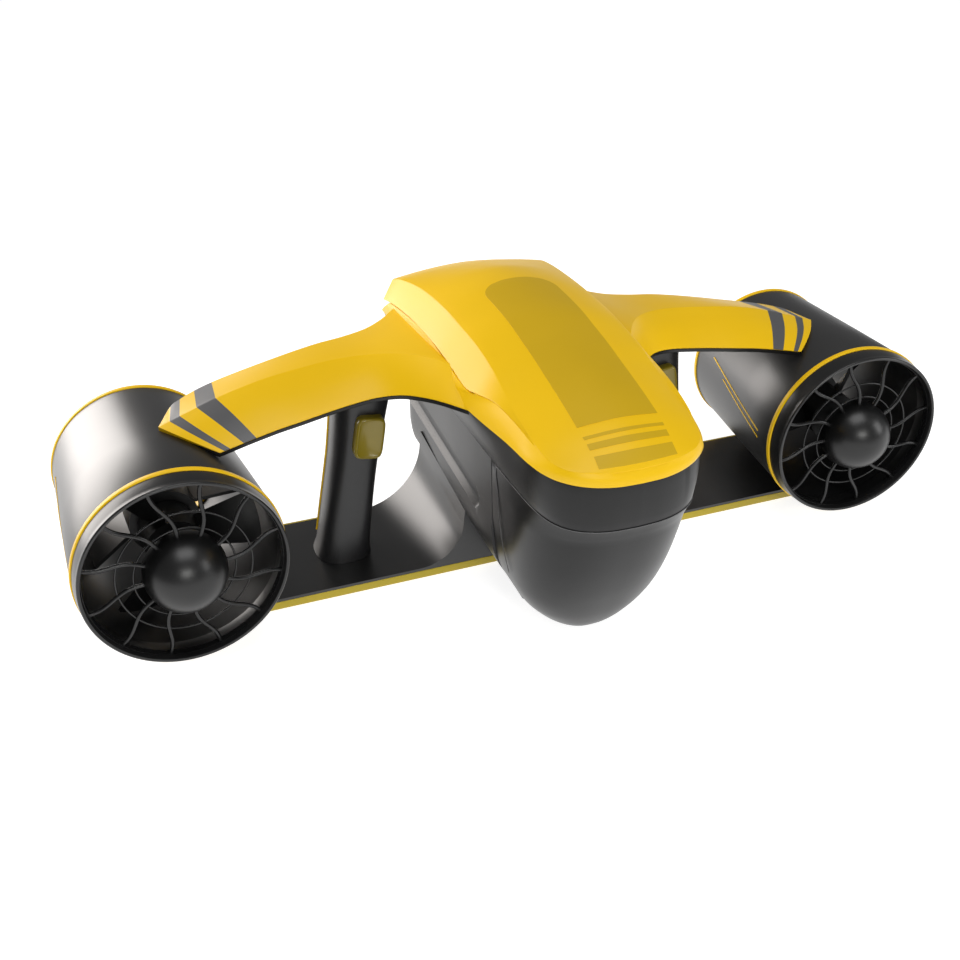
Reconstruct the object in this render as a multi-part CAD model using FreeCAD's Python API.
# Twin-thruster underwater scooter: two ducted thrusters under a chevron wing, a central hull with a
# slide-out nose battery pod, two grip posts with triggers, and a flat lower plate.
# Millimetres. +Z up, front towards -Y, origin at the centre of the footprint.
# The left side (-X) is modelled and mirrored to make the right side.
import FreeCAD, Part
import math
import os
from FreeCAD import Vector

# Driving dimensions: thrusters
THRUSTER_SPACING = 430.0      # between the two mouth centres
TOE_IN = 4.87                 # degrees, each axis leans inboard towards the front
MOUTH_Y = -29.0               # mouth plane on the thruster axis
MOUTH_RADIUS = 54.7           # clear opening of the front bezel
DUCT_FRONT_RADIUS = 57.2      # outside of the duct behind the front ring
DUCT_REAR_RADIUS = 51.7       # outside of the duct at its rear end
DUCT_WALL = 3.0
BEZEL_LENGTH = 11.6
RING_WIDTH = 3.4
RING_PROUD = 0.7
DUCT_LENGTH = 134.8           # mouth to rear ring
GUARD_SPOKES = 12
GUARD_BORE = 6.0
GUARD_SETBACK = 4.0
GUARD_THICKNESS = 2.2
GUARD_SWEEP = 10.0            # degrees each spoke swirls between hub and seat
GUARD_HOOPS = (0.66, 0.50)    # hoop radii as shares of the mouth radius
HOOP_HALF_WIDTH = 0.8
SPOKE_WIDTH = 1.9
DOME_RADIUS = 22.6
DOME_HEIGHT = 21.6

# Driving dimensions: motor and propeller
MOTOR_RADIUS = 20.0
MOTOR_WALL = 2.4
MOTOR_START = 58.0            # behind the mouth
MOTOR_LENGTH = 52.0
TAIL_LENGTH = 12.0
VANE_COUNT = 5
VANE_THICKNESS = 2.2
SHAFT_RADIUS = 4.0
BEARING_RADIUS = 9.5
BEARING_WIDTH = 6.0
BEARING_CLEARANCE = 0.03
AIR_GAP = 0.5
ROTOR_RADIUS = 11.0
PROPELLER_BLADES = 3
PROPELLER_HUB_RADIUS = 16.0
PROPELLER_HUB_LENGTH = 24.0
TIP_CLEARANCE = 2.0
BLADE_THICKNESS = 2.4

# Driving dimensions: lower plate and ribbons
PLATE_THICKNESS = 5.5
PLATE_FRONT = 7.0
PLATE_REAR = 91.0
PLATE_OVERHANG = 22.0         # past the thruster axis
RIBBON_THICKNESS = 1.9
RING_SINK = 0.4               # how far the front ring's lowest point sits into the ribbon
RIBBON_FRONT_RADIUS = 29.0    # hollow sweep up to the hull, at its front edge
RIBBON_REAR_RADIUS = 43.0

# Driving dimensions: hull
HULL_LENGTH = 252.0
RIM_HEIGHT = 66.0             # joint between yellow and black, above the thruster axes
COLLAR_DEPTH = 24.0           # black band between the rim and the pod
HULL_WALL = 2.6
HULL_HALF_WIDTH = 46.0        # black sides
CAVITY_HALF = 37.0            # half width of the room behind the pod
BOARD_HALF = 30.0
BOARD_DEPTH = 12.0
GROOVE_DEPTH = 2.4
HULL_FLOOR = -20.0            # lower edge of the black sides, from the thruster axes
NECK_HALF_WIDTH = 26.0        # where the neck stands on the plate
SEAM_GAP = 0.4
FIT = 0.3                     # air between pieces that move past each other

# Driving dimensions: wings and grips
WING_SKIN = 3.0
WING_LIP = 3.0                # black underside showing below the yellow skin
TRIM_REACH = 30.0             # how far the cutting solid over the wing runs past its edges
GRIP_WIDTH = 30.0
GRIP_DEPTH = 34.0
GRIP_BOTTOM_X = 115.0
GRIP_TOP_X = 97.0
TRIGGER_WIDTH = 17.6
TRIGGER_HEIGHT = 27.0
TRIGGER_DEPTH = 14.0
TRIGGER_PROUD = 4.5
TRIGGER_TRAVEL = 4.0
TRIGGER_CORNER = 5.0
BUTTON_RADIUS = 8.0
BUTTON_LENGTH = 9.0
BUTTON_HEIGHT = 40.0          # above the thruster axes, on the tail

# Driving dimensions: battery, contacts, fasteners
POD_FLOOR = 8.0
PACK_HALF_WIDTH = 36.0
PACK_SETBACK = 30.0
PACK_HEADROOM = 8.0
TERMINAL_RADIUS = 2.5
TERMINAL_REACH = 4.0
TERMINAL_SPACING = 24.0
TERMINAL_HEIGHT = 12.0
SCREW_RADIUS = 2.0
SCREW_LENGTH = 14.0
SCREW_HEAD_RADIUS = 3.8
SCREW_HEAD_HEIGHT = 2.2
SCREW_RECESS = 0.4
SCREW_GRIP_Y = 45.0

# Derived places
AXIS_Z = PLATE_THICKNESS + DUCT_FRONT_RADIUS + RING_PROUD - RING_SINK
AXIS_X = THRUSTER_SPACING / 2
PLATE_TOP = PLATE_THICKNESS
DECK_TOP = PLATE_TOP + RIBBON_THICKNESS
RING_START = BEZEL_LENGTH
DUCT_START = RING_START + RING_WIDTH
DUCT_END = DUCT_LENGTH - RING_WIDTH
MOTOR_END = MOTOR_START + MOTOR_LENGTH
PROPELLER_START = MOTOR_START - PROPELLER_HUB_LENGTH - 4.0
RIM_Z = AXIS_Z + RIM_HEIGHT
PARTING_Z = RIM_Z - COLLAR_DEPTH
NOSE_Y = -HULL_LENGTH / 2
TAIL_Y = HULL_LENGTH / 2

os.makedirs("parts", exist_ok=True)


def save(name, shape):
    shape.exportStep("parts/" + name + ".step")


def mirrored(shape):
    return shape.mirror(Vector(0, 0, 0), Vector(1, 0, 0))


def save_pair(name, shape):
    save("left_" + name, shape)
    save("right_" + name, mirrored(shape))


def loft(sections):
    """Straight-sided loft through closed polygons of matching corners."""
    wires = [Part.makePolygon(points + [points[0]]) for points in sections]
    return Part.makeLoft(wires, True, True)


def box(x0, x1, y0, y1, z0, z1):
    return Part.makeBox(x1 - x0, y1 - y0, z1 - z0, Vector(x0, y0, z0))


# ---------------------------------------------------------------- thrusters
# Thruster pieces are turned about local +Y, which runs from the mouth to the rear.

def turned(profile):
    """Solid of revolution about +Y from (station, radius) corners."""
    points = [Vector(radius, station, 0) for station, radius in profile]
    face = Part.Face(Part.makePolygon(points + [points[0]]))
    return face.revolve(Vector(0, 0, 0), Vector(0, 1, 0), 360)


def tube(start, end, inner, outer):
    return turned([(start, inner), (start, outer), (end, outer), (end, inner)])


def rod(start, end, radius):
    return Part.makeCylinder(radius, end - start, Vector(0, start, 0), Vector(0, 1, 0))


def placed(shape, side=-1):
    """Carry a thruster piece from its own axis to a thruster's place: side -1 is left, 1 is right."""
    turn = FreeCAD.Rotation(Vector(0, 0, 1), -side * TOE_IN)
    shape = shape.copy()
    shape.Placement = FreeCAD.Placement(Vector(side * AXIS_X, MOUTH_Y, AXIS_Z), turn)
    return shape


def duct_outer(station):
    share = (station - DUCT_START) / (DUCT_END - DUCT_START)
    return DUCT_FRONT_RADIUS + share * (DUCT_REAR_RADIUS - DUCT_FRONT_RADIUS)


def duct_inner(station):
    return duct_outer(station) - DUCT_WALL


def ring_around(shape, count):
    step = 360.0 / count
    copies = []
    for index in range(count):
        piece = shape.copy()
        piece.rotate(Vector(0, 0, 0), Vector(0, 1, 0), index * step)
        copies.append(piece)
    return copies


def make_bezel():
    inner_rear = duct_inner(DUCT_START)
    return turned([
        (0.0, MOUTH_RADIUS + 0.6), (-0.6, MOUTH_RADIUS + 1.2), (0.4, MOUTH_RADIUS + 1.9),
        (3.0, DUCT_FRONT_RADIUS - 0.2), (BEZEL_LENGTH, DUCT_FRONT_RADIUS), (BEZEL_LENGTH, inner_rear),
        (1.2, MOUTH_RADIUS)])


def make_front_ring():
    outer = DUCT_FRONT_RADIUS + RING_PROUD
    return tube(RING_START, DUCT_START, duct_inner(DUCT_START), outer)


def make_duct():
    return turned([
        (DUCT_START, duct_inner(DUCT_START)), (DUCT_START, DUCT_FRONT_RADIUS),
        (DUCT_END, DUCT_REAR_RADIUS), (DUCT_END, DUCT_REAR_RADIUS - DUCT_WALL)])


def make_rear_ring():
    inner = DUCT_REAR_RADIUS - DUCT_WALL
    return tube(DUCT_END, DUCT_LENGTH, inner, DUCT_REAR_RADIUS + RING_PROUD)


def spoke(inner, outer, sweep, start, thickness):
    """One S-curved guard spoke, cut from flat stock."""
    left_side = []
    right_side = []
    for index in range(7):
        share = index / 6.0
        radius = inner + share * (outer - inner)
        angle = math.radians(sweep) * (share - math.sin(2 * math.pi * share) / 4.0)
        along = Vector(math.cos(angle), 0, math.sin(angle))
        across = Vector(-math.sin(angle), 0, math.cos(angle))
        left_side.append(along * radius + across * (SPOKE_WIDTH / 2) + Vector(0, start, 0))
        right_side.append(along * radius - across * (SPOKE_WIDTH / 2) + Vector(0, start, 0))
    outline = left_side + right_side[::-1]
    face = Part.Face(Part.makePolygon(outline + [outline[0]]))
    return face.extrude(Vector(0, thickness, 0))


def make_guard(start, seat_radius, hub_radius, hub_bore):
    """Flat grille: seat ring, hub ring, two thin hoops and the swirling spokes, moulded in one."""
    end = start + GUARD_THICKNESS
    rings = [tube(start, end, seat_radius - 1.6, seat_radius), tube(start, end, hub_bore, hub_radius)]
    for share in GUARD_HOOPS:
        radius = share * MOUTH_RADIUS
        rings.append(tube(start, end, radius - HOOP_HALF_WIDTH, radius + HOOP_HALF_WIDTH))
    bar = spoke(hub_radius - 0.5, seat_radius - 0.8, GUARD_SWEEP, start, GUARD_THICKNESS)
    return rings[0].multiFuse(rings[1:] + ring_around(bar, GUARD_SPOKES)).removeSplitter()


def bezel_bore(station):
    share = (station - 1.2) / (BEZEL_LENGTH - 1.2)
    return MOUTH_RADIUS + share * (duct_inner(DUCT_START) - MOUTH_RADIUS)


def make_dome():
    """Glossy nose dome, a half ellipsoid, on the middle of the intake guard."""
    base = GUARD_SETBACK
    sphere = Part.makeSphere(DOME_RADIUS).toNurbs()
    matrix = FreeCAD.Matrix()
    matrix.scale(Vector(1, DOME_HEIGHT / DOME_RADIUS, 1))
    ellipsoid = sphere.transformGeometry(matrix)
    ellipsoid.translate(Vector(0, base, 0))
    size = 2 * DOME_RADIUS + 2
    front_half = box(-size, size, base - size, base, -size, size)
    return ellipsoid.common(front_half)


def blade(tip_radius, start, length):
    """A propeller blade: a twisted loft from the hub out past the tip circle."""
    sections = []
    root = PROPELLER_HUB_RADIUS - 3.0
    for share in (0.0, 0.35, 0.7, 1.0):
        radius = root + share * (tip_radius + 2.0 - root)
        chord = 18.0 + 14.0 * share
        pitch = math.radians(62.0 - 34.0 * share)
        cx = radius
        middle = start + length / 2
        corners = []
        for a, b in ((-0.5, -0.5), (0.5, -0.5), (0.5, 0.5), (-0.5, 0.5)):
            across = a * chord
            through = b * BLADE_THICKNESS
            y = middle + across * math.sin(pitch) + through * math.cos(pitch)
            z = across * math.cos(pitch) - through * math.sin(pitch)
            corners.append(Vector(cx, y, z))
        sections.append(corners)
    return loft(sections)


def make_propeller():
    end = PROPELLER_START + PROPELLER_HUB_LENGTH
    tip = duct_inner(end + 6.0) - TIP_CLEARANCE
    hub = tube(PROPELLER_START, end, SHAFT_RADIUS, PROPELLER_HUB_RADIUS)
    inner_cut = rod(PROPELLER_START - 20, end + 20, PROPELLER_HUB_RADIUS - 1.0)
    blades = ring_around(blade(tip, PROPELLER_START, PROPELLER_HUB_LENGTH), PROPELLER_BLADES)
    sweep = rod(PROPELLER_START - 6, end + 6, tip)
    trimmed = [piece.common(sweep).cut(inner_cut) for piece in blades]
    return hub.multiFuse(trimmed)


def make_motor_housing():
    bore = MOTOR_RADIUS - MOTOR_WALL
    shell = turned([
        (MOTOR_START + 4.0, bore), (MOTOR_START + 4.0, MOTOR_RADIUS), (MOTOR_END, MOTOR_RADIUS),
        (MOTOR_END + TAIL_LENGTH * 0.6, MOTOR_RADIUS * 0.75),
        (MOTOR_END + TAIL_LENGTH, MOTOR_RADIUS * 0.35), (MOTOR_END + TAIL_LENGTH, 0.0),
        (MOTOR_END, 0.0), (MOTOR_END, BEARING_RADIUS),
        (MOTOR_END - BEARING_WIDTH, BEARING_RADIUS), (MOTOR_END - BEARING_WIDTH, bore)])
    vane_start = MOTOR_START + 16.0
    vane_end = MOTOR_END - 4.0
    reach = duct_inner(vane_start) + 5.0
    plate = box(MOTOR_RADIUS - 1.0, reach, vane_start, vane_end, -VANE_THICKNESS / 2, VANE_THICKNESS / 2)
    channel = turned([(vane_start, 0.0), (vane_start, duct_inner(vane_start)),
                      (vane_end, duct_inner(vane_end)), (vane_end, 0.0)])
    vanes = [piece.common(channel) for piece in ring_around(plate, VANE_COUNT)]
    return shell.multiFuse(vanes)


def make_motor_cap():
    bore = MOTOR_RADIUS - MOTOR_WALL
    start = MOTOR_START
    return turned([
        (start, SHAFT_RADIUS + AIR_GAP), (start, MOTOR_RADIUS), (start + 4.0, MOTOR_RADIUS),
        (start + 4.0, bore), (start + 4.0 + BEARING_WIDTH, bore),
        (start + 4.0 + BEARING_WIDTH, BEARING_RADIUS),
        (start + 4.0, BEARING_RADIUS), (start + 4.0, SHAFT_RADIUS + AIR_GAP)])


def make_bearing(start):
    return tube(start, start + BEARING_WIDTH, SHAFT_RADIUS + BEARING_CLEARANCE, BEARING_RADIUS)


def build_thrusters():
    front_bearing = MOTOR_START + 4.0
    rear_bearing = MOTOR_END - BEARING_WIDTH
    rotor_start = front_bearing + BEARING_WIDTH + 3.0
    rotor_end = rear_bearing - 3.0
    stator_inner = ROTOR_RADIUS + AIR_GAP
    stator_outer = MOTOR_RADIUS - MOTOR_WALL
    save_pair("intake_bezel", placed(make_bezel()))
    save_pair("front_trim_ring", placed(make_front_ring()))
    save_pair("duct_shell", placed(make_duct()))
    save_pair("rear_trim_ring", placed(make_rear_ring()))
    guard_seat = min(bezel_bore(GUARD_SETBACK), bezel_bore(GUARD_SETBACK + GUARD_THICKNESS))
    guard = make_guard(GUARD_SETBACK, guard_seat, DOME_RADIUS, GUARD_BORE)
    save("left_intake_guard", placed(guard, -1))
    save("right_intake_guard", placed(guard, 1))
    save_pair("hub_dome", placed(make_dome()))
    save_pair("propeller", placed(make_propeller()))
    save_pair("motor_shaft", placed(rod(PROPELLER_START - 2.0, MOTOR_END - 0.5, SHAFT_RADIUS)))
    save_pair("motor_rotor", placed(tube(rotor_start, rotor_end, SHAFT_RADIUS, ROTOR_RADIUS)))
    save_pair("motor_stator", placed(tube(rotor_start - 1.0, rotor_end + 1.0, stator_inner, stator_outer)))
    save_pair("motor_housing", placed(make_motor_housing()))
    save_pair("motor_cap", placed(make_motor_cap()))
    save_pair("front_bearing", placed(make_bearing(front_bearing)))
    save_pair("rear_bearing", placed(make_bearing(rear_bearing)))


# ---------------------------------------------------------------- hull

# Stations along the hull from nose (0) to tail (1). Each row gives half widths, and heights above the
# thruster axes: rim half width, shoulder half width and height, deck edge half width and height, and
# the height of the crown on the centre line.
DECK_STATIONS = (
    (0.000, 12.0, 10.0, 68.0, 8.0, 69.0, 69.6),
    (0.014, 22.0, 18.0, 73.0, 14.0, 73.3, 74.0),
    (0.028, 31.0, 29.0, 74.0, 28.0, 74.5, 76.8),
    (0.063, 41.0, 39.0, 75.4, 38.0, 75.9, 81.6),
    (0.123, 48.5, 45.0, 78.6, 44.0, 79.2, 89.0),
    (0.212, 51.0, 47.0, 83.5, 44.5, 84.8, 96.2),
    (0.317, 54.0, 52.0, 84.0, 44.0, 91.0, 102.4),
    (0.401, 56.0, 56.0, 81.2, 44.0, 96.4, 105.6),
    (0.484, 57.0, 56.5, 84.5, 44.2, 99.0, 109.3),
    (0.619, 57.5, 57.0, 86.8, 44.8, 100.8, 111.8),
    (0.762, 58.3, 57.2, 85.2, 46.0, 99.9, 111.2),
    (0.893, 59.0, 58.0, 81.2, 48.5, 96.5, 103.6),
    (0.980, 59.2, 58.8, 77.5, 53.0, 91.5, 95.8),
    (1.000, 57.5, 57.0, 76.0, 50.0, 88.5, 93.0),
)
PANEL_HALF_WIDTH = 22.5
PANEL_FIRST = 4
PANEL_LAST = 9
PANEL_THICKNESS = 2.2


def hull_y(share):
    return NOSE_Y + share * HULL_LENGTH


def both_sides(y, half_points):
    """Close a half section (x, z) running from the bottom centre out and up to the top centre."""
    right = [Vector(x, y, z) for x, z in half_points]
    left = [Vector(-x, y, z) for x, z in reversed(half_points) if x > 0]
    return right + left


def upper_section(station):
    share, rim, shoulder, shoulder_z, deck, deck_z, crown = station
    top = AXIS_Z + shoulder_z
    return both_sides(hull_y(share), [(0, RIM_Z), (rim, RIM_Z), (shoulder, top), (0, top)])


def crown_height(station, x):
    """Height of the crowned deck top, a shallow parabola from the centre line to the deck edge."""
    share, rim, shoulder, shoulder_z, deck, deck_z, crown = station
    return AXIS_Z + crown - (crown - deck_z) * (x / deck) ** 2


def deck_section(station):
    share, rim, shoulder, shoulder_z, deck, deck_z, crown = station
    base = AXIS_Z + shoulder_z
    middle = min(PANEL_HALF_WIDTH, 0.6 * deck)
    return both_sides(hull_y(share), [
        (0, base), (shoulder, base), (deck, AXIS_Z + deck_z), (middle, crown_height(station, middle)),
        (0, AXIS_Z + crown)])


def panel_section(station):
    half = PANEL_HALF_WIDTH - 0.5
    edge = crown_height(station, PANEL_HALF_WIDTH)
    crown = crown_height(station, 0.0)
    side = crown + (edge - crown) * half / PANEL_HALF_WIDTH
    return both_sides(hull_y(station[0]), [
        (0, crown - PANEL_THICKNESS), (half, side - PANEL_THICKNESS), (half, side), (0, crown)])


def make_upper_shell():
    return loft([upper_section(row) for row in DECK_STATIONS])


def make_deck():
    return loft([deck_section(row) for row in DECK_STATIONS])


def plan_outline(z, nose_y, rear_y, half_width, nose_reach, corner_count=8):
    """Plan outline with a rounded nose: a quarter superellipse each side, then straight back."""
    side = []
    for index in range(corner_count + 1):
        angle = 0.5 * math.pi * index / corner_count
        x = half_width * math.sin(angle) ** 0.8
        y = nose_y + nose_reach * (1 - math.cos(angle) ** 0.9)
        side.append((x, y))
    side.append((half_width, rear_y))
    right = [Vector(x, y, z) for x, y in side]
    left = [Vector(-x, y, z) for x, y in reversed(side) if x > 0]
    return right + left


POD_TOP = PARTING_Z - SEAM_GAP
POD_SEAM = hull_y(0.333)
COLLAR_REAR = hull_y(0.45)

# Levels down the pod, from its top rim to its foot: height above the thruster axes, setback of the nose,
# half width, and how far back the rounding of the nose reaches.
POD_LEVELS = (
    (POD_TOP - AXIS_Z, 3.6, 47.0, 46.0),
    (30.0, 6.3, 46.8, 46.0),
    (15.0, 10.5, 46.5, 45.0),
    (-14.0, 21.0, 44.3, 41.0),
    (-28.0, 27.5, 41.0, 37.5),
    (-38.0, 32.5, 36.0, 34.0),
    (-45.0, 36.8, 30.0, 30.5),
    (-51.5, 41.8, 22.0, 25.5),
    (-58.4, 52.0, 6.0, 12.0),
)


def pod_outline(level, inset):
    height, setback, half_width, reach = level
    nose = NOSE_Y + setback + inset
    return plan_outline(AXIS_Z + height, nose, POD_SEAM - inset, half_width - inset, reach)


def make_pod():
    """Nose battery pod: a deep rounded tub raked back towards its foot."""
    return loft([pod_outline(level, 0.0) for level in POD_LEVELS])


def make_pod_cavity():
    """Room inside the pod: its upper levels drawn in by the wall, with a lid and a thick floor left on."""
    top, *rest = POD_LEVELS[:-2]
    lid = (top[0] - HULL_WALL,) + top[1:]
    return loft([pod_outline(level, HULL_WALL) for level in [lid] + rest])


def make_terminals(clearance):
    """Two contact pins standing forward from the hull into the pod's rear wall."""
    pins = []
    for side in (-1, 1):
        z = AXIS_Z + TERMINAL_HEIGHT
        root = POD_SEAM + TERMINAL_REACH
        pin = rod(root - 2 * TERMINAL_REACH - clearance, root, TERMINAL_RADIUS + clearance)
        pin.translate(Vector(side * TERMINAL_SPACING / 2, 0, z))
        pins.append(pin)
    return pins


def make_screws():
    """Countersunk screws up through the lower plate into the neck and the two grip posts."""
    screws = []
    for x, y in ((0.0, PLATE_FRONT + 12.0), (0.0, PLATE_REAR - 20.0), (-GRIP_BOTTOM_X, SCREW_GRIP_Y),
                 (GRIP_BOTTOM_X, SCREW_GRIP_Y)):
        shank = Part.makeCylinder(SCREW_RADIUS, SCREW_LENGTH, Vector(x, y, SCREW_RECESS))
        head = Part.makeCone(SCREW_HEAD_RADIUS, SCREW_RADIUS, SCREW_HEAD_HEIGHT, Vector(x, y, SCREW_RECESS))
        screws.append(shank.fuse(head).Solids[0])
    return screws


def make_screw_holes():
    """Room for each screw, with its head recess open through the bottom face."""
    holes = []
    for screw in make_screws():
        x = screw.BoundBox.Center.x
        y = screw.BoundBox.Center.y
        recess = Part.makeCylinder(SCREW_HEAD_RADIUS, SCREW_RECESS + 1.0, Vector(x, y, -1.0))
        holes.append(screw.fuse(recess))
    return holes


def make_collar_outer():
    """Black band round the nose, wider at the rim than at the parting line."""
    return loft([
        plan_outline(PARTING_Z, NOSE_Y + 3.0, COLLAR_REAR, HULL_HALF_WIDTH + 1.5, 46.0),
        plan_outline(RIM_Z, NOSE_Y, COLLAR_REAR, HULL_HALF_WIDTH + 7.5, 48.0)])


def hull_section(y, rim, side, floor):
    parting_half = side + 1.5
    return both_sides(y, [
        (0, floor), (side - 3.0, floor), (side, floor + 10.0), (side + 0.4, AXIS_Z + 16.0),
        (parting_half, PARTING_Z), (rim, RIM_Z), (0, RIM_Z)])


def make_hull_outer():
    side = HULL_HALF_WIDTH
    floor = AXIS_Z + HULL_FLOOR
    return loft([
        hull_section(POD_SEAM + SEAM_GAP, 54.0, side, floor),
        hull_section(hull_y(0.53), 57.0, side, floor),
        hull_section(hull_y(0.80), 58.5, side, floor),
        hull_section(hull_y(0.97), 58.5, side - 1.0, floor),
        hull_section(TAIL_Y, 56.0, side - 3.5, floor + 3.0)])


def make_neck():
    """Narrow lower body between hull and plate, level in front with the back of the pod."""
    front = POD_SEAM + SEAM_GAP
    top = AXIS_Z + HULL_FLOOR + 1.0

    def ring(z, half, rear):
        corners = ((-half, front), (half, front), (half, rear), (-half, rear))
        return [Vector(x, y, z) for x, y in corners]
    return loft([
        ring(PLATE_TOP, NECK_HALF_WIDTH, PLATE_REAR - 16.0),
        ring(PLATE_TOP + 0.3 * (top - PLATE_TOP), NECK_HALF_WIDTH + 4.5, PLATE_REAR - 14.5),
        ring(top, HULL_HALF_WIDTH - 3.0, PLATE_REAR - 12.0)])


def build_hull():
    upper = make_upper_shell()
    deck = make_deck()
    cavity = box(-CAVITY_HALF, CAVITY_HALF, hull_y(0.50), hull_y(0.94), AXIS_Z - 4.0, AXIS_Z + 92.0)
    panel = loft([panel_section(row) for row in DECK_STATIONS[PANEL_FIRST:PANEL_LAST + 1]])
    deck = deck.cut(panel)
    hull = make_hull_outer().multiFuse([make_collar_outer(), make_neck()])
    bore = rod(TAIL_Y - BUTTON_LENGTH - 5.0, TAIL_Y + 2.0, BUTTON_RADIUS + FIT)
    bore.translate(Vector(0, 0, AXIS_Z + BUTTON_HEIGHT))
    button = rod(TAIL_Y - BUTTON_LENGTH, TAIL_Y, BUTTON_RADIUS)
    button.translate(Vector(0, 0, AXIS_Z + BUTTON_HEIGHT))
    groove_floor = -HULL_HALF_WIDTH + GROOVE_DEPTH
    groove = box(groove_floor - 20.0, groove_floor, hull_y(0.42), hull_y(0.86), AXIS_Z + 4.0, AXIS_Z + 15.0)
    hull = hull.cut(cavity).cut(bore).cut(groove).cut(mirrored(groove))
    terminals = make_terminals(0.0)
    for piece in terminals + make_screws():
        hull = hull.cut(piece)
    save("power_button", button)
    save("main_hull", hull)
    save("upper_shell", upper.cut(cavity))
    save("deck_cover", deck.cut(cavity))
    save("deck_panel", panel)
    pod_cavity = make_pod_cavity()
    pod = make_pod().cut(pod_cavity)
    for socket in make_terminals(FIT):
        pod = pod.cut(socket)
    save("battery_pod", pod)
    save("battery_terminals", terminals[0].fuse(terminals[1]))
    pack_rear = POD_SEAM - HULL_WALL - TERMINAL_REACH
    pack_top = PARTING_Z - PACK_HEADROOM
    cells = box(-PACK_HALF_WIDTH, PACK_HALF_WIDTH, NOSE_Y + PACK_SETBACK, pack_rear, POD_FLOOR, pack_top)
    save("battery_pack", cells.common(pod_cavity))
    board_z = AXIS_Z - 4.0
    board = box(-BOARD_HALF, BOARD_HALF, hull_y(0.55), hull_y(0.88), board_z, board_z + BOARD_DEPTH)
    save("controller_board", board)


# ---------------------------------------------------------------- wings

# Stations out along the left wing, in distance from the centre line: inner ones are set from the hull,
# outer ones from the thruster axis. Each row: distance, then (y, z) of the front lower edge, the crest
# and the rear edge, heights above the thruster axes.
WING_STATIONS = (
    (AXIS_X - 1.0, (5.0, 46.0), (36.5, 57.2), (75.0, 52.0)),
    (AXIS_X - 29.0, (5.0, 51.0), (40.0, 65.5), (75.5, 60.0)),
    (AXIS_X - 48.0, (7.0, 55.0), (41.0, 70.5), (75.5, 64.0)),
    (140.0, (10.0, 59.0), (44.0, 73.5), (76.5, 69.5)),
    (111.0, (15.5, 61.3), (47.0, 76.0), (77.8, 74.3)),
    (96.0, (15.5, 63.0), (43.0, 78.0), (79.0, 75.6)),
    (84.0, (12.0, 64.5), (34.5, 80.8), (82.5, 76.5)),
    (72.0, (3.0, 65.8), (23.0, 84.0), (89.0, 77.8)),
    (62.0, (-11.0, 67.3), (7.0, 87.0), (98.0, 79.5)),
    (50.0, (-34.0, 69.0), (-8.0, 88.0), (106.0, 80.5)),
)


def wing_point(distance, place, lift=0.0):
    return Vector(-distance, place[0], AXIS_Z + place[1] + lift)


def wing_body(bottom_drop, skin):
    """Wing section solid: 'skin' lowers the top faces, 'bottom_drop' lowers the flat underside."""
    sections = []
    for distance, front, crest, rear in WING_STATIONS:
        sections.append([
            wing_point(distance, front, -skin), wing_point(distance, crest, -skin),
            wing_point(distance, rear, -skin), wing_point(distance, rear, -bottom_drop),
            wing_point(distance, front, -bottom_drop)])
    return loft(sections)


def above_wing():
    sections = []
    for distance, front, crest, rear in WING_STATIONS:
        slope = (rear[1] - front[1]) / (rear[0] - front[0])
        drop = WING_SKIN + WING_LIP
        low_front = (front[0] - TRIM_REACH, front[1] - drop - TRIM_REACH * slope)
        low_rear = (rear[0] + TRIM_REACH, rear[1] - drop + TRIM_REACH * slope)
        sections.append([
            wing_point(distance, low_front), wing_point(distance, low_rear),
            wing_point(distance, low_rear, 120.0), wing_point(distance, low_front, 120.0)])
    return loft(sections)


def wing_tip_trim():
    """Prism that keeps the pointed tip: chamfered front and rear corners meeting at the crest."""
    inner = 40.0
    corners = [
        Vector(-inner, -120.0, 0), Vector(-(AXIS_X - 29.0), -120.0, 0), Vector(-(AXIS_X - 29.0), 5.0, 0),
        Vector(-(AXIS_X - 1.0), 36.0, 0), Vector(-(AXIS_X - 45.0), 75.5, 0),
        Vector(-(AXIS_X - 45.0), 160.0, 0), Vector(-inner, 160.0, 0)]
    face = Part.Face(Part.makePolygon(corners + [corners[0]]))
    return face.extrude(Vector(0, 0, 400))


def build_wings(duct_solid):
    trim = wing_tip_trim()
    body = wing_body(WING_SKIN, 0.0).common(trim)
    inner = wing_body(WING_SKIN, WING_SKIN)
    lower = wing_body(WING_SKIN + WING_LIP, WING_SKIN).common(trim)
    cover = body.cut(inner)
    centre = hull_envelope()
    cover = largest(cover.cut(centre).cut(duct_solid))
    lower = largest(lower.cut(centre).cut(duct_solid))
    save_pair("wing_cover", cover)
    save_pair("wing_underside", lower)


def hull_envelope():
    return make_hull_outer().multiFuse([make_upper_shell(), make_deck(), make_collar_outer()])


def largest(shape):
    return max(shape.Solids, key=lambda solid: solid.Volume)


# ---------------------------------------------------------------- grips

def grip_x(z):
    share = (z - DECK_TOP) / (AXIS_Z + 55.0 - DECK_TOP)
    return -(GRIP_BOTTOM_X + share * (GRIP_TOP_X - GRIP_BOTTOM_X))


def grip_section(z, width, depth, front):
    """Eight-sided section: a rectangle with chamfered corners."""
    x = grip_x(z)
    half = width / 2
    cut = 8.0
    y0 = front
    y1 = front + depth
    return [
        Vector(x - half + cut, y0, z), Vector(x + half - cut, y0, z), Vector(x + half, y0 + cut, z),
        Vector(x + half, y1 - cut, z), Vector(x + half - cut, y1, z), Vector(x - half + cut, y1, z),
        Vector(x - half, y1 - cut, z), Vector(x - half, y0 + cut, z)]


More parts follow.
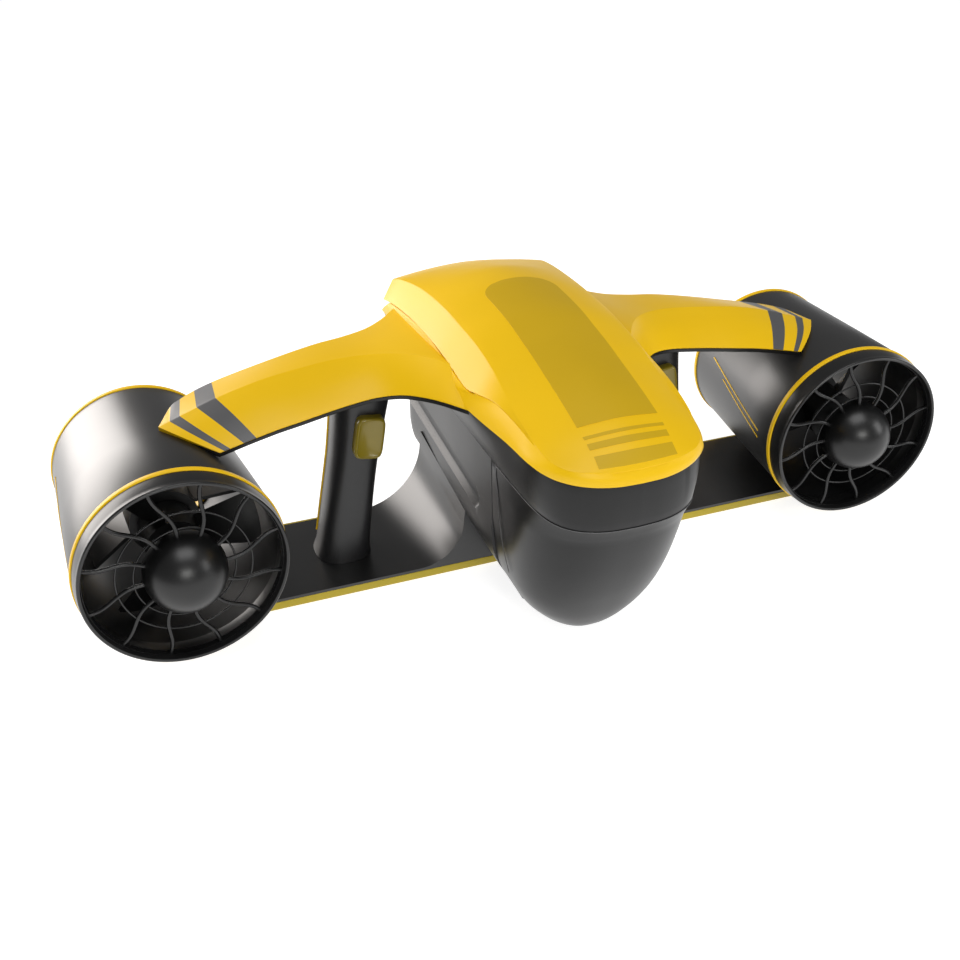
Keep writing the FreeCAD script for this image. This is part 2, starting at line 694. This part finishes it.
def build_grips():
    front_bottom = 29.0
    front_top = 25.0
    trigger_z = AXIS_Z + 35.0
    post = loft([
        grip_section(DECK_TOP, GRIP_WIDTH + 8.0, GRIP_DEPTH + 4.0, front_bottom - 2.0),
        grip_section(DECK_TOP + 12.0, GRIP_WIDTH, GRIP_DEPTH, front_bottom),
        grip_section(AXIS_Z + 40.0, GRIP_WIDTH, GRIP_DEPTH, front_top),
        grip_section(AXIS_Z + 70.0, GRIP_WIDTH + 6.0, GRIP_DEPTH + 2.0, front_top - 1.0)])
    post = largest(post.cut(above_wing()))
    strip_box = box(grip_x(AXIS_Z) - 40.0, grip_x(AXIS_Z) + 40.0, front_bottom + GRIP_DEPTH - 12.0,
                    front_bottom + GRIP_DEPTH - 9.0, DECK_TOP + 10.0, AXIS_Z + 46.0)
    shell_cut = loft([
        grip_section(DECK_TOP, GRIP_WIDTH + 5.0, GRIP_DEPTH + 4.0, front_bottom - 2.0),
        grip_section(DECK_TOP + 12.0, GRIP_WIDTH - 3.0, GRIP_DEPTH, front_bottom),
        grip_section(AXIS_Z + 40.0, GRIP_WIDTH - 3.0, GRIP_DEPTH, front_top),
        grip_section(AXIS_Z + 70.0, GRIP_WIDTH + 3.0, GRIP_DEPTH + 2.0, front_top - 1.0)])
    strip = post.common(strip_box).cut(shell_cut)
    outer_half = box(-300.0, grip_x(AXIS_Z), -300, 300, 0, 400)
    strip = largest(strip.common(outer_half))
    trigger_x = grip_x(trigger_z)
    trigger_front = front_top - TRIGGER_PROUD
    half_w = TRIGGER_WIDTH / 2
    half_h = TRIGGER_HEIGHT / 2
    trigger = box(trigger_x - half_w, trigger_x + half_w, trigger_front, trigger_front + TRIGGER_DEPTH,
                  trigger_z - half_h, trigger_z + half_h)
    edges = [edge for edge in trigger.Edges if abs(edge.tangentAt(edge.FirstParameter).y) > 0.9]
    trigger = trigger.makeFillet(TRIGGER_CORNER, edges)
    pocket_end = trigger_front + TRIGGER_DEPTH + TRIGGER_TRAVEL + 9.0
    pocket = box(trigger_x - half_w - FIT, trigger_x + half_w + FIT, trigger_front - 5.0, pocket_end,
                 trigger_z - half_h - FIT, trigger_z + half_h + FIT)
    switch_half = 4.0
    switch = box(trigger_x - switch_half, trigger_x + switch_half, pocket_end - 2 * switch_half, pocket_end,
                 trigger_z - 12.0, trigger_z)
    spring = tube(trigger_front + TRIGGER_DEPTH, pocket_end, 2.4, 3.4)
    spring.translate(Vector(trigger_x, 0, trigger_z + 6.0))
    post = post.cut(pocket).cut(strip)
    for screw in make_screws():
        post = post.cut(screw)
    save_pair("grip_post", post)
    save_pair("grip_strip", strip)
    save_pair("trigger", trigger)
    save_pair("trigger_switch", switch)
    save_pair("trigger_spring", spring)


# ---------------------------------------------------------------- lower plate and ribbons

def build_plate(duct_solid):
    outer_x = AXIS_X + PLATE_OVERHANG
    plate = box(-outer_x, outer_x, PLATE_FRONT, PLATE_REAR, 0.0, PLATE_TOP)
    for hole in make_screw_holes():
        plate = plate.cut(hole)
    save("lower_plate", plate)
    screws = make_screws()
    save("plate_screws", Part.makeCompound(screws))

    def section(y, radius, wall):
        sweep = [Vector(-26.0, y, PLATE_TOP), Vector(-outer_x, y, PLATE_TOP), Vector(-outer_x, y, DECK_TOP)]
        for step in range(7):
            angle = 0.5 * math.pi * step / 6
            x = wall + radius * (1 - math.sin(angle))
            sweep.append(Vector(-x, y, DECK_TOP + radius * (1 - math.cos(angle))))
        top = DECK_TOP + radius + 7.0
        return sweep + [Vector(-wall, y, top), Vector(-26.0, y, top)]
    ribbon = loft([section(PLATE_FRONT, RIBBON_FRONT_RADIUS, HULL_HALF_WIDTH - 0.4),
                   section(PLATE_REAR - 5.0, RIBBON_REAR_RADIUS, HULL_HALF_WIDTH + 1.8)])
    saddle = box(-AXIS_X - 16.0, -AXIS_X + 16.0, PLATE_FRONT + 4.0, PLATE_REAR - 4.0, DECK_TOP - 0.5,
                 DECK_TOP + 8.0)
    ribbon = ribbon.fuse(saddle).cut(duct_solid)
    ribbon = ribbon.cut(make_neck()).cut(make_hull_outer())
    for screw in make_screws():
        ribbon = ribbon.cut(screw)
    ribbon = largest(ribbon)
    save_pair("ribbon", ribbon)


build_thrusters()
DUCT_KEEPOUT = placed(turned([
    (-1.0, 0.0), (-1.0, DUCT_FRONT_RADIUS), (RING_START, DUCT_FRONT_RADIUS),
    (RING_START, DUCT_FRONT_RADIUS + RING_PROUD), (DUCT_START, DUCT_FRONT_RADIUS + RING_PROUD),
    (DUCT_START, DUCT_FRONT_RADIUS), (DUCT_END, DUCT_REAR_RADIUS),
    (DUCT_END, DUCT_REAR_RADIUS + RING_PROUD), (DUCT_LENGTH, DUCT_REAR_RADIUS + RING_PROUD),
    (DUCT_LENGTH, 0.0)]))
build_hull()
build_wings(DUCT_KEEPOUT)
build_grips()
build_plate(DUCT_KEEPOUT)
